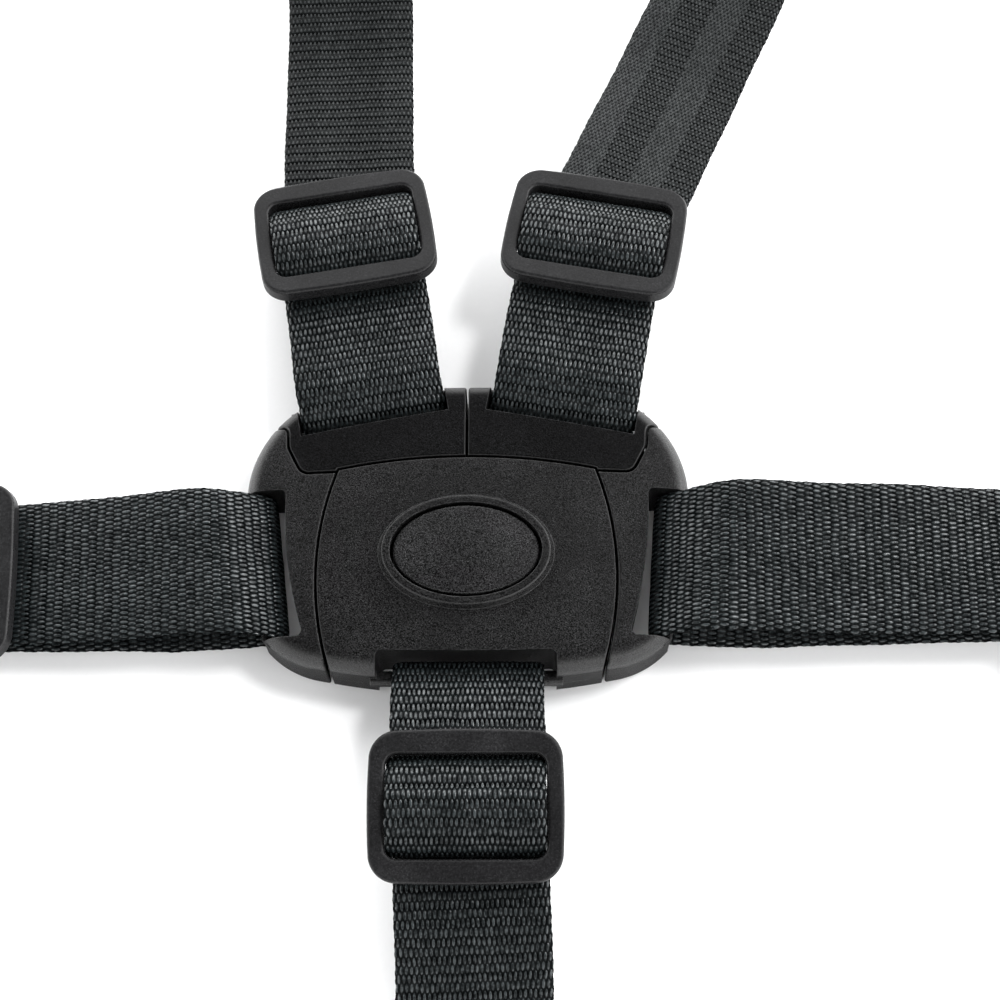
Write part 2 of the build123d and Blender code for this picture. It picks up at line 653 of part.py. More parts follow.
for strap_name, strap in STRAPS.items():
    save(make_strap(strap), f"{strap_name}_strap")
    save(make_adjuster(strap), f"{strap_name}_adjuster")
    save(make_wrap(strap), f"{strap_name}_wrap")
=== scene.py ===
import math

import bpy
import numpy as np
from mathutils import Matrix, Vector


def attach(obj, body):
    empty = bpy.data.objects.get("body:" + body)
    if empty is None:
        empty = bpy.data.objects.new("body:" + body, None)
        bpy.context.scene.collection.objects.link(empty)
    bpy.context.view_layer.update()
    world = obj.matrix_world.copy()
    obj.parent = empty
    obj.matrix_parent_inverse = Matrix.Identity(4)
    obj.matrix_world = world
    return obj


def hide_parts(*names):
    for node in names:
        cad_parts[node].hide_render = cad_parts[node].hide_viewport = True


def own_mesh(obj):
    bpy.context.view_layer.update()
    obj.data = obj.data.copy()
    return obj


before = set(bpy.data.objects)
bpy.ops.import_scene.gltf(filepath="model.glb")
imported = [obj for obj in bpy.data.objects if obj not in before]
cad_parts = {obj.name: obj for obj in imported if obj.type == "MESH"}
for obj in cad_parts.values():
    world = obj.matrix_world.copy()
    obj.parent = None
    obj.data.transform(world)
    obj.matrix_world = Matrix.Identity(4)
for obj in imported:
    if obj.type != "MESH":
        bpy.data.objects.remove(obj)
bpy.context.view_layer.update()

MM = 0.001

# ---------------------------------------------------------------- harness dimensions, millimetres

WEB_WIDTH = 25.0
WEB_THICK = 1.2
LAYER_PITCH = WEB_THICK + 0.15
BAR_Z = 7.0
ADJUSTER_LENGTH = 24.4
WINDOW_LENGTH = 16.4
WRAP_LIFT = 1.4
WRAP_CREST = 6.1
ROLL_WIDTH = 25.4
ANCHOR_LOOP_HEIGHT = 9.0
ANCHOR_LOOP_TOP = 5.0
ANCHOR_FLAP = 26.0

# Beside the CAD's own values: "skew" slants the loop at the bar, "twist" turns the front layer about its
# length (both in degrees), "shift" moves the webbing in plan, "tail_width" narrows it past the adjuster
# and "tail" names the weave it shows there. "crease" is the side on which the roll is pressed flat.
STRAPS = {
    "crotch": {
        "bar": (0.25, -23.2), "loop": 2.2, "heading": -90.0, "tail_heading": -88.0,
        "front_rise": 26.0, "rear_rise": 18.0, "crest_run": 6.0,
        "adjuster": 22.3, "height": 11.2, "slope": -8.0,
        "rear_low": (9.0, 6.1), "floor": 63.0, "end": 93.0, "rests_on": "front_cover",
        "skew": 0.0, "twist": 0.0, "shift": (0.3, 0.0), "tail_width": 1.0, "tail": None, "crease": -1.0,
    },
    "shoulder_left": {
        "bar": (-16.5, 24.65), "loop": 3.2, "heading": 99.5, "tail_heading": 92.0,
        "front_rise": 18.0, "rear_rise": 2.0, "crest_run": 7.0,
        "adjuster": 31.4, "height": 9.0, "slope": -11.0,
        "rear_low": (14.0, 4.3), "floor": 74.0, "end": 120.0, "rests_on": "shoulder_tongue_left",
        "skew": 0.0, "twist": 0.0, "shift": (0.3, 0.0), "tail_width": 0.95, "tail": "RIBBED", "crease": 1.0,
    },
    "shoulder_right": {
        "bar": (16.5, 24.65), "loop": 3.2, "heading": 79.5, "tail_heading": 66.5,
        "front_rise": 18.0, "rear_rise": 2.0, "crest_run": 7.0,
        "adjuster": 31.0, "height": 9.0, "slope": -11.0,
        "rear_low": (14.0, 4.3), "floor": 74.0, "end": 130.0, "rests_on": "shoulder_tongue_right",
        "skew": 0.0, "twist": 0.0, "shift": (0.0, 0.0), "tail_width": 0.95, "tail": "BANDED", "crease": 1.0,
    },
    "waist_left": {
        "bar": (-34.3, -4.2), "loop": 2.75, "heading": 182.0, "tail_heading": 182.0,
        "front_rise": 32.0, "rear_rise": -8.0, "crest_run": 8.0,
        "adjuster": 52.4, "height": 6.8, "slope": -8.5,
        "rear_low": (16.0, 1.5), "floor": 91.0, "end": 123.0, "rests_on": "waist_tongue_left",
        "skew": 5.0, "twist": 3.0, "shift": (0.0, 0.4), "tail_width": 1.0, "tail": None, "crease": 1.0,
    },
    "waist_right": {
        "bar": (34.3, -4.2), "loop": 2.75, "heading": 0.0, "tail_heading": 0.0,
        "front_rise": 35.0, "rear_rise": -8.0, "crest_run": 9.5,
        "adjuster": 72.0, "height": 8.4, "slope": -7.0,
        "rear_low": (18.0, 1.5), "floor": 112.0, "end": 140.0, "rests_on": "waist_tongue_right",
        "skew": -4.0, "twist": -8.5, "shift": (0.0, 0.0), "tail_width": 1.0, "tail": None, "crease": 1.0,
    },
}


# ---------------------------------------------------------------- shader graph helper

class Val:
    """A shader value that can be added, multiplied and so on with plain Python operators."""

    def __init__(self, graph, socket):
        self.graph = graph
        self.socket = socket

    def __add__(self, other):
        return self.graph.math("ADD", self, other)

    __radd__ = __add__

    def __sub__(self, other):
        return self.graph.math("SUBTRACT", self, other)

    def __rsub__(self, other):
        return self.graph.math("SUBTRACT", other, self)

    def __mul__(self, other):
        return self.graph.math("MULTIPLY", self, other)

    __rmul__ = __mul__

    def __truediv__(self, other):
        return self.graph.math("DIVIDE", self, other)

    def floor(self):
        return self.graph.math("FLOOR", self)

    def fract(self):
        return self.graph.math("FRACT", self)

    def abs(self):
        return self.graph.math("ABSOLUTE", self)

    def pow(self, exponent):
        return self.graph.math("POWER", self, exponent)

    def clamp(self):
        return self.graph.math("ADD", self, 0.0, clamp=True)


class Graph:
    """Builds one material's node tree."""

    def __init__(self, name):
        self.material = bpy.data.materials.new(name)
        self.material.use_nodes = True
        self.nodes = self.material.node_tree.nodes
        self.links = self.material.node_tree.links
        self.nodes.clear()
        self.output = self.nodes.new("ShaderNodeOutputMaterial")
        self.shader = self.nodes.new("ShaderNodeBsdfPrincipled")
        self.links.new(self.shader.outputs["BSDF"], self.output.inputs["Surface"])

    def put(self, value, socket):
        if isinstance(value, Val):
            self.links.new(value.socket, socket)
        elif hasattr(socket.default_value, "__len__"):
            if hasattr(value, "__len__"):
                for i, x in enumerate(value):
                    socket.default_value[i] = x
            else:
                for i in range(3):
                    socket.default_value[i] = value
        else:
            socket.default_value = value

    def math(self, operation, *values, clamp=False):
        node = self.nodes.new("ShaderNodeMath")
        node.operation = operation
        node.use_clamp = clamp
        for i, value in enumerate(values):
            self.put(value, node.inputs[i])
        return Val(self, node.outputs[0])

    def smooth(self, value, low, high, to_low=0.0, to_high=1.0):
        node = self.nodes.new("ShaderNodeMapRange")
        node.interpolation_type = "SMOOTHSTEP"
        ends = {"Value": value, "From Min": low, "From Max": high, "To Min": to_low, "To Max": to_high}
        for key, x in ends.items():
            self.put(x, node.inputs[key])
        return Val(self, node.outputs[0])

    def coords(self, kind):
        node = self.nodes.new("ShaderNodeTexCoord")
        return Val(self, node.outputs[kind])

    def split(self, vector):
        node = self.nodes.new("ShaderNodeSeparateXYZ")
        self.put(vector, node.inputs[0])
        return [Val(self, node.outputs[i]) for i in range(3)]

    def join(self, x, y, z):
        node = self.nodes.new("ShaderNodeCombineXYZ")
        for i, value in enumerate((x, y, z)):
            self.put(value, node.inputs[i])
        return Val(self, node.outputs[0])

    def scaled(self, vector, scale):
        node = self.nodes.new("ShaderNodeVectorMath")
        node.operation = "SCALE"
        self.put(vector, node.inputs[0])
        self.put(scale, node.inputs["Scale"])
        return Val(self, node.outputs[0])

    def noise(self, vector, scale, detail=2.0, roughness=0.5):
        node = self.nodes.new("ShaderNodeTexNoise")
        self.put(vector, node.inputs["Vector"])
        self.put(scale, node.inputs["Scale"])
        self.put(detail, node.inputs["Detail"])
        self.put(roughness, node.inputs["Roughness"])
        return Val(self, node.outputs[0])

    def mix(self, factor, a, b):
        node = self.nodes.new("ShaderNodeMix")
        node.data_type = "RGBA"
        self.put(factor, node.inputs[0])
        self.put(a, node.inputs[6])
        self.put(b, node.inputs[7])
        return Val(self, node.outputs[2])

    def bevel(self, radius):
        node = self.nodes.new("ShaderNodeBevel")
        node.samples = 6
        self.put(radius, node.inputs["Radius"])
        return Val(self, node.outputs[0])

    def bump(self, height, distance, strength=1.0, normal=None):
        node = self.nodes.new("ShaderNodeBump")
        self.put(height, node.inputs["Height"])
        self.put(distance, node.inputs["Distance"])
        self.put(strength, node.inputs["Strength"])
        if normal is not None:
            self.put(normal, node.inputs["Normal"])
        return Val(self, node.outputs[0])

    def normal_map(self, x, y, z):
        node = self.nodes.new("ShaderNodeNormalMap")
        node.uv_map = "weave"
        self.put(self.join(x * 0.5 + 0.5, y * 0.5 + 0.5, z * 0.5 + 0.5), node.inputs["Color"])
        return Val(self, node.outputs[0])

    def edge(self, radius):
        """About 0 on flats and up to 1 on sharp edges."""
        geometry = self.nodes.new("ShaderNodeNewGeometry")
        dot = self.nodes.new("ShaderNodeVectorMath")
        dot.operation = "DOT_PRODUCT"
        self.links.new(geometry.outputs["Normal"], dot.inputs[0])
        self.put(self.bevel(radius), dot.inputs[1])
        return self.smooth(1.0 - Val(self, dot.outputs["Value"]), 0.02, 0.30)

    def set(self, **inputs):
        for key, value in inputs.items():
            self.put(value, self.shader.inputs[key.replace("_", " ")])


# ---------------------------------------------------------------- materials

def webbing_material(name, tint, ribs=0.0, banded=0.0, calm=0.0):
    """Polyester webbing: staggered, lens-shaped, lustrous floats that lean slightly one way and the other in
    four bands, with small pits at the band borders. ribs shortens the floats into cross ribs, banded does
    so in every other band, and calm lowers the contrast."""
    g = Graph(name)
    uv = g.nodes.new("ShaderNodeUVMap")
    uv.uv_map = "weave"
    u, v, _ = g.split(Val(g, uv.outputs[0]))
    obj = g.scaled(g.coords("Object"), 1000.0)
    u = u + (g.noise(obj, 0.35, 1.0) - 0.5) * 0.22
    v = v + (g.noise(obj, 0.22, 1.0) - 0.5) * 0.6

    column_pitch = 0.80
    row_pitch = 2.84 - ribs * 0.76 - banded * 1.42
    band_width = WEB_WIDTH / 4
    odd = ((u / band_width).floor() * 0.5).fract() * 2.0
    lean = odd * 0.07 - 0.04
    half_width = 0.235 - 0.030 * calm
    half_length = 0.74 - calm * 0.10 - odd * banded * 0.34 - ribs * 0.22

    def lattice(shift_u, shift_v):
        across = ((u / column_pitch + shift_u).fract() - 0.5) * column_pitch
        along = ((v / row_pitch + shift_v).fract() - 0.5) * row_pitch
        x = (across + lean * along) / half_width
        y = along / half_length
        return x, y, (1.0 - x * x - y.abs().pow(2.4)).clamp()

    x1, y1, h1 = lattice(0.0, 0.0)
    x2, y2, h2 = lattice(0.5, 0.5)
    first = g.math("GREATER_THAN", h1, h2)
    x = x2 + (x1 - x2) * first
    y = y2 + (y1 - y2) * first
    grain = g.math("MAXIMUM", h1, h2)
    slope_u = x * 0.50
    slope_v = y * y * y * 0.90

    nearest = (u / band_width + 0.5).floor()
    border = g.smooth((u - nearest * band_width).abs(), 0.10, 0.30, 1.0, 0.0)
    pit_spot = g.smooth(((v / 5.2 + nearest * 0.37).fract() - 0.5).abs(), 0.04, 0.075, 1.0, 0.0)
    pit = border * pit_spot
    yarn = g.noise(g.join((u / column_pitch * 2.0).floor() * 1.7, v * 0.7, 0.0), 1.0, 3.0, 0.65)
    fuzz = g.noise(obj, 7.0, 2.0, 0.6)
    glitter = g.smooth(g.noise(obj, 1.5, 1.0), 0.34, 0.66, 0.45, 1.60)

    # Painted light in the base colour: the floats are painted bright as a painted sheen that varies from
    # grain to grain, and the gaps between floats are painted dark as painted shade. The same float brightness
    # also sets the real specular level.
    shade = g.smooth(grain, 0.02, 0.50, calm * 0.32 + 0.10, 1.0)
    lustre_and_painted_sheen = shade * (odd * 0.12 + 0.80) * (1.0 - pit * 0.7) * g.smooth(yarn, 0.25, 0.75, 0.65, 1.25)
    lustre_and_painted_sheen = lustre_and_painted_sheen * (glitter * (1.0 - calm * 0.6) + calm * 0.6)
    colour = g.scaled(g.join(*tint), lustre_and_painted_sheen + 0.12)
    normal = g.normal_map(slope_u, slope_v, 1.0)
    normal = g.bump(fuzz, 0.00002, 0.35, normal)
    roughness = (1.0 - shade) * 0.3 + yarn * 0.14 + calm * 0.15 + 0.22
    g.set(
        Base_Color=colour, Roughness=roughness.clamp(),
        Specular_IOR_Level=(lustre_and_painted_sheen * (0.38 - calm * 0.20)).clamp(), Normal=normal,
    )
    return g.material


def plastic_material(name, colour, grain_mm, grain_depth, roughness, gloss, shine, contrast=1.0):
    """Moulded black plastic: fine spark-eroded grain, faint flow patches, glossier rounded edges.

    gloss is the flat faces' specular level, shine what the rounded edges add to it, and contrast how
    strongly the grain shows in the colour.
    """
    g = Graph(name)
    coordinates = g.coords("Object")
    obj = g.scaled(coordinates, 1000.0)
    fine = g.noise(obj, 1.0 / grain_mm, 2.0, 0.6)
    specks = g.noise(obj, 1.7 / grain_mm, 1.0)
    patches = g.noise(obj, 0.09, 3.0, 0.55)
    upward = g.split(g.coords("Normal"))[2]
    rounding = g.smooth(upward, 0.70, 0.95, 1.0, 0.0) * g.smooth(upward, 0.05, 0.30)
    # Sharp edges get a lighter base colour and a higher specular level: partly rubbed wear, partly a painted
    # highlight for the bright lines of light along the seams.
    wear_and_painted_edge_highlight = g.edge(0.00030) * g.smooth(g.noise(obj, 0.8, 3.0, 0.6), 0.30, 0.60)
    tone = g.smooth(fine, 0.40, 0.60, 0.05, 2.1) + g.smooth(specks, 0.58, 0.68) * 4.5
    tone = tone * contrast + (1.0 - contrast) * 1.6
    # The edge term adds a painted edge highlight, with some wear, to the colour.
    tone = tone * g.smooth(patches, 0.35, 0.7, 0.85, 1.25) + wear_and_painted_edge_highlight * 9.0
    normal = g.bump(fine * 0.7 + specks * 0.3, grain_depth, 1.0, g.bevel(0.00025))
    g.set(
        Base_Color=g.scaled(g.join(*colour), tone),
        Roughness=(roughness + (patches - 0.5) * 0.16 + (fine - 0.5) * 0.30 - rounding * 0.12).clamp(),
        Specular_IOR_Level=(rounding * shine + wear_and_painted_edge_highlight * 0.25 + gloss).clamp(), Normal=normal,
    )
    return g.material


def steel_material(name, colour, roughness):
    """Plated steel with fine drawing lines and faint dulling."""
    g = Graph(name)
    obj = g.scaled(g.coords("Object"), 1000.0)
    x, y, z = g.split(obj)
    lines = g.noise(g.join(x * 0.6, y * 9.0, z * 0.6), 1.0, 3.0, 0.6)
    dull = g.noise(obj, 0.6, 3.0, 0.6)
    base = g.mix(g.smooth(dull, 0.4, 0.7) * 0.5, colour, [c * 0.6 for c in colour])
    g.set(
        Base_Color=base, Metallic=1.0, Roughness=(roughness + (dull - 0.5) * 0.3).clamp(),
        Normal=g.bump(lines, 0.00001, 0.8, g.bevel(0.0001)),
    )
    return g.material


def thread_material():
    """Twisted bonded thread."""
    g = Graph("thread")
    uv = g.nodes.new("ShaderNodeUVMap")
    uv.uv_map = "weave"
    u, v, _ = g.split(Val(g, uv.outputs[0]))
    twist = ((u * 2.0 + v * 3.2).fract() - 0.5).abs() * 2.0
    g.set(
        Base_Color=g.mix(twist, [0.05, 0.053, 0.055], [0.012, 0.013, 0.014]), Roughness=0.42,
        Sheen_Weight=0.25, Normal=g.bump(twist, 0.00006, 0.8),
    )
    return g.material


def floor_material():
    """Pale matt paper."""
    g = Graph("paper")
    obj = g.coords("Object")
    fibre = g.noise(g.scaled(obj, 1000.0), 1.2, 4.0, 0.6)
    g.set(
        Base_Color=g.mix(fibre, [0.86, 0.865, 0.87], [0.90, 0.90, 0.905]), Roughness=0.75,
        Specular_IOR_Level=0.2, Normal=g.bump(fibre, 0.00002, 0.3),
    )
    return g.material


WEBBING = webbing_material("webbing_weave", (0.0140, 0.0178, 0.0190))
RIBBED = webbing_material("webbing_ribbed", (0.0082, 0.0101, 0.0106), ribs=1.0, calm=1.0)
BANDED = webbing_material("webbing_banded", (0.0082, 0.0101, 0.0106), banded=1.0, calm=0.9)
BUCKLE = plastic_material("buckle_grain", (0.0043, 0.0043, 0.0044), 0.26, 0.000110, 0.42, 0.045, 0.34)
# The shoulder tongues get a darker copy of the buckle's plastic: painted shade for the shadow they lie in,
# with a lower specular level.
SHADED_TONGUE = plastic_material("tongue_grain_painted_shade", (0.0015, 0.0015, 0.0016), 0.26, 0.000100, 0.44, 0.020, 0.34)
BUTTON = plastic_material("button_grain", (0.0062, 0.0062, 0.0064), 0.28, 0.000090, 0.40, 0.060, 0.40)
ADJUSTER = plastic_material(
    "adjuster_skin", (0.0060, 0.0060, 0.0063), 0.40, 0.000030, 0.36, 0.060, 0.16, contrast=0.3
)
STEEL = steel_material("plated_steel", (0.56, 0.57, 0.58), 0.34)
WIRE = steel_material("spring_wire", (0.48, 0.48, 0.50), 0.28)
SCREWS = steel_material("blackened_screw", (0.10, 0.10, 0.105), 0.38)
THREAD = thread_material()
TAILS = {None: None, "RIBBED": RIBBED, "BANDED": BANDED}


# ---------------------------------------------------------------- CAD nodes keep their shape

FINISH = {
    "front_cover": BUCKLE, "back_cover": BUCKLE, "release_button": BUTTON,
    "waist_tongue_left": BUCKLE, "waist_tongue_right": BUCKLE,
    "shoulder_tongue_left": SHADED_TONGUE, "shoulder_tongue_right": SHADED_TONGUE,
    "lock_plate": STEEL, "button_spring": WIRE, "ejector_spring": WIRE, "housing_screws": SCREWS,
}
for strap_name in STRAPS:
    FINISH[f"{strap_name}_adjuster"] = ADJUSTER
for node_name, material in FINISH.items():
    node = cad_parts[node_name]
    node.data.materials.clear()
    node.data.materials.append(material)


# ---------------------------------------------------------------- return spring


def make_return_coil():
    """The button's spring: a copy of the CAD coil, standing on the back cover."""
    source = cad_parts["button_spring"]
    coil = bpy.data.objects.new("return_coil", source.data.copy())
    bpy.context.scene.collection.objects.link(coil)
    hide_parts("button_spring")
    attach(coil, "buckle")
    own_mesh(coil)


make_return_coil()


# ---------------------------------------------------------------- strap paths

def rounded(points, radii):
    """Polyline with its inner corners rounded, as dense points."""
    points = [Vector(p) for p in points]
    out = [points[0]]
    for i in range(1, len(points) - 1):
        before = (points[i - 1] - points[i]).normalized()
        after = (points[i + 1] - points[i]).normalized()
        angle = before.angle(after)
        radius = radii if isinstance(radii, (int, float)) else radii[i - 1]
        if angle > math.pi - 1e-4:
            out.append(points[i])
            continue
        set_back = radius / math.tan(angle / 2)
        centre = points[i] + (before + after).normalized() * (radius / math.sin(angle / 2))
        first = points[i] + before * set_back - centre
        turn = math.pi - angle
        side = 1 if first.x * (after.y * -1) - first.y * (after.x * -1) < 0 else -1
        steps = max(3, int(turn * radius / 0.25))
        for k in range(steps + 1):
            a = side * turn * k / steps
            out.append(centre + Vector((
                first.x * math.cos(a) - first.y * math.sin(a),
                first.x * math.sin(a) + first.y * math.cos(a),
            )))
    out.append(points[-1])
    return out


def evenly(points, step):
    """The same line with even spacing."""
    p = np.array(points, float)
    run = np.concatenate([[0], np.cumsum(np.linalg.norm(np.diff(p, axis=0), axis=1))])
    keep = np.concatenate([[True], np.diff(run) > 1e-9])
    p, run = p[keep], run[keep]
    count = max(2, int(round(run[-1] / step)) + 1)
    at = np.linspace(0, run[-1], count)
    return np.column_stack([np.interp(at, run, p[:, i]) for i in range(p.shape[1])]), at


def on_slope(strap, distance, drop=0.0):
    """Side-view point on the adjuster's sloping line, at a distance past its middle and a drop below."""
    slope = math.radians(strap["slope"])
    return (
        strap["adjuster"] + distance * math.cos(slope) + drop * math.sin(slope),
        strap["height"] + distance * math.sin(slope) - drop * math.cos(slope),
    )


def strap_profile(strap):
    """Side view of the webbing's middle surface, from the inner end to the sewn flap's end."""
    reach = ADJUSTER_LENGTH / 2
    rise = math.radians(strap["front_rise"])
    fall = math.radians(strap["rear_rise"])
    loop = strap["loop"]
    front = (-loop * math.sin(rise), BAR_Z + loop * math.cos(rise))
    rear = (loop * math.sin(fall), BAR_Z - loop * math.cos(fall))
    crest = (
        front[0] + strap["crest_run"] * math.cos(rise),
        front[1] + strap["crest_run"] * math.sin(rise),
    )
    floor_z = WEB_THICK / 2
    flap_z = floor_z + LAYER_PITCH
    top_z = floor_z + ANCHOR_LOOP_HEIGHT
    end = strap["end"]
    loop_end = end + ANCHOR_LOOP_HEIGHT / 2
    inner = rounded(
        [on_slope(strap, reach - 2.0, LAYER_PITCH), on_slope(strap, -2.0, LAYER_PITCH),
         strap["rear_low"], rear], 8.0,
    )
    start = math.atan2(rear[1] - BAR_Z, rear[0])
    stop = math.atan2(front[1] - BAR_Z, front[0]) - 2 * math.pi
    around = [
        Vector((loop * math.cos(a), BAR_Z + loop * math.sin(a)))
        for a in np.linspace(start, stop, 40)
    ]
    outer = rounded(
        [front, crest, on_slope(strap, -reach), on_slope(strap, reach + 6.0),
         (strap["floor"], floor_z), (loop_end, floor_z), (loop_end, top_z),
         (end - ANCHOR_LOOP_TOP, top_z), (end - ANCHOR_FLAP / 2, flap_z), (end - ANCHOR_FLAP, flap_z)],
        [12.0, 12.0, 20.0, 40.0, 4.4, 4.4, 4.4, 8.0],
    )
    return inner + around[1:-1] + outer


def plan_line(strap):
    """Functions that give the plan position and heading at a distance from the bar."""
    half_turn = 9.0
    start = math.radians(strap["heading"])
    turn = math.radians(strap["tail_heading"]) - start
    s = np.arange(-20.0, 200.0, 0.25)
    t = np.clip((s - strap["adjuster"] + half_turn) / (2 * half_turn), 0, 1)
    heading = start + turn * t * t * (3 - 2 * t)
    x = np.concatenate([[0], np.cumsum((np.cos(heading[1:]) + np.cos(heading[:-1])) * 0.125)])
    y = np.concatenate([[0], np.cumsum((np.sin(heading[1:]) + np.sin(heading[:-1])) * 0.125)])
    x += strap["bar"][0] - np.interp(0, s, x)
    y += strap["bar"][1] - np.interp(0, s, y)
    return lambda d: (np.interp(d, s, x), np.interp(d, s, y), np.interp(d, s, heading))


# ---------------------------------------------------------------- ribbons of webbing

def ribbon(name, points, across, run, seed, wobble=0.0, width=WEB_WIDTH, scale=None, tail=None, past=None):
    """Closed webbing ribbon along points, with rounded, scalloped selvedges and a weave UV map in mm.

    scale narrows it point by point, past marks the points that show the tail's own material.
    """
    random = np.random.default_rng(seed)
    half = width / 2
    scale = np.ones(len(points)) if scale is None else scale
    tangent = np.gradient(points, axis=0)
    tangent /= np.linalg.norm(tangent, axis=1)[:, None]
    normal = np.cross(across, tangent)
    normal /= np.linalg.norm(normal, axis=1)[:, None]
    count = len(points)
    inner = np.linspace(-1, 1, 23)
    lateral = np.sign(inner) * (1 - (1 - np.abs(inner)) ** 1.35)
    ring = [(a, 1) for a in lateral] + [(a, -1) for a in lateral[::-1]]
    phases = random.uniform(0, 6.28, 6)
    scallop = [
        0.10 * np.abs(np.sin(run * math.pi / 3.95 + phases[k]))
        + 0.045 * np.sin(run * 2 * math.pi / 1.42 + phases[k + 2])
        for k in range(2)
    ]
    slow_wave = np.sin(run * 2 * math.pi / 47.0 + phases[4])
    quick_wave = np.sin(run * 2 * math.pi / 23.0 + phases[5])
    drift = wobble * (slow_wave + 0.6 * quick_wave)
    vertices = np.empty((count, len(ring), 3))
    uvs = np.empty((count, len(ring), 2))
    for j, (a, face) in enumerate(ring):
        grow = scallop[0] if a < 0 else scallop[1]
        offset = a * (half - 0.08 + (np.abs(a) ** 6) * grow)
        depth = WEB_THICK / 2 * (1 - abs(a) ** 16) ** 0.5 * (1 + 0.03 * math.cos(a * math.pi * 4))
        ripple = 0.04 * np.sin(run * 2 * math.pi / 17.0 + a * 2.0 + phases[3]) * abs(a)
        vertices[:, j] = (
            points + across * (offset * scale + drift)[:, None] + normal * (face * depth + ripple)[:, None]
        )
        uvs[:, j, 0] = half + a * half
        uvs[:, j, 1] = run
    size = len(ring)
    faces, face_uvs = [], []
    flat_uv = uvs.reshape(-1, 2)
    for i in range(count - 1):
        for j in range(size):
            k = (j + 1) % size
            loop = [i * size + j, i * size + k, (i + 1) * size + k, (i + 1) * size + j]
            faces.append(loop)
            face_uvs.extend(flat_uv[n] for n in loop)
    for i, order in ((0, range(size - 1, -1, -1)), (count - 1, range(size))):
        loop = [i * size + j for j in order]
        faces.append(loop)
        face_uvs.extend(flat_uv[n] for n in loop)
    mesh = bpy.data.meshes.new(name)
    mesh.from_pydata((vertices.reshape(-1, 3) * MM).tolist(), [], faces)
    layer = mesh.uv_layers.new(name="weave")
    layer.data.foreach_set("uv", np.array(face_uvs, np.float32).ravel())
    for polygon in mesh.polygons:
        polygon.use_smooth = len(polygon.vertices) == 4
    mesh.materials.append(WEBBING)
    if tail is not None:
        mesh.materials.append(tail)
        for i in range(count - 1):
            if past[i]:
                for j in range(size):
                    mesh.polygons[i * size + j].material_index = 1
    mesh.update()
    obj = bpy.data.objects.new(name, mesh)
    bpy.context.scene.collection.objects.link(obj)
    return obj


def stitches(name, places):
    """One mesh of short thread stitches: each place is (middle, direction, up, length)."""
    vertices, faces, uvs = [], [], []
    rings, sides = 7, 8
    for middle, direction, up, length in places:
        side = np.cross(up, direction)
        base = len(vertices)
        for i in range(rings):
            t = i / (rings - 1) * 2 - 1
            lift = 0.30 * (1 - abs(t) ** 2.5) - 0.12
            radius = 0.24 * (1 - 0.75 * abs(t) ** 6)
            for j in range(sides):
                a = 2 * math.pi * j / sides
                p = middle + direction * (t * length / 2) + up * (lift + radius * math.sin(a))
                p = p + side * radius * math.cos(a)
                vertices.append(p * MM)
        for i in range(rings - 1):
            for j in range(sides):
                k = (j + 1) % sides
                this_ring = base + i * sides
                next_ring = this_ring + sides
                faces.append([this_ring + j, this_ring + k, next_ring + k, next_ring + j])
                left, right = j / sides, (j + 1) / sides
                low, high = i * length / rings, (i + 1) * length / rings
                uvs.extend([(left, low), (right, low), (right, high), (left, high)])
        for i, order in ((0, range(sides - 1, -1, -1)), (rings - 1, range(sides))):
            faces.append([base + i * sides + j for j in order])
            uvs.extend([(0.0, 0.0)] * sides)
    mesh = bpy.data.meshes.new(name)
    mesh.from_pydata([tuple(v) for v in vertices], [], faces)
    layer = mesh.uv_layers.new(name="weave")
    layer.data.foreach_set("uv", np.array(uvs, np.float32).ravel())
    for polygon in mesh.polygons:
        polygon.use_smooth = len(polygon.vertices) == 4
    mesh.materials.append(THREAD)
    obj = bpy.data.objects.new(name, mesh)
    bpy.context.scene.collection.objects.link(obj)
    return obj


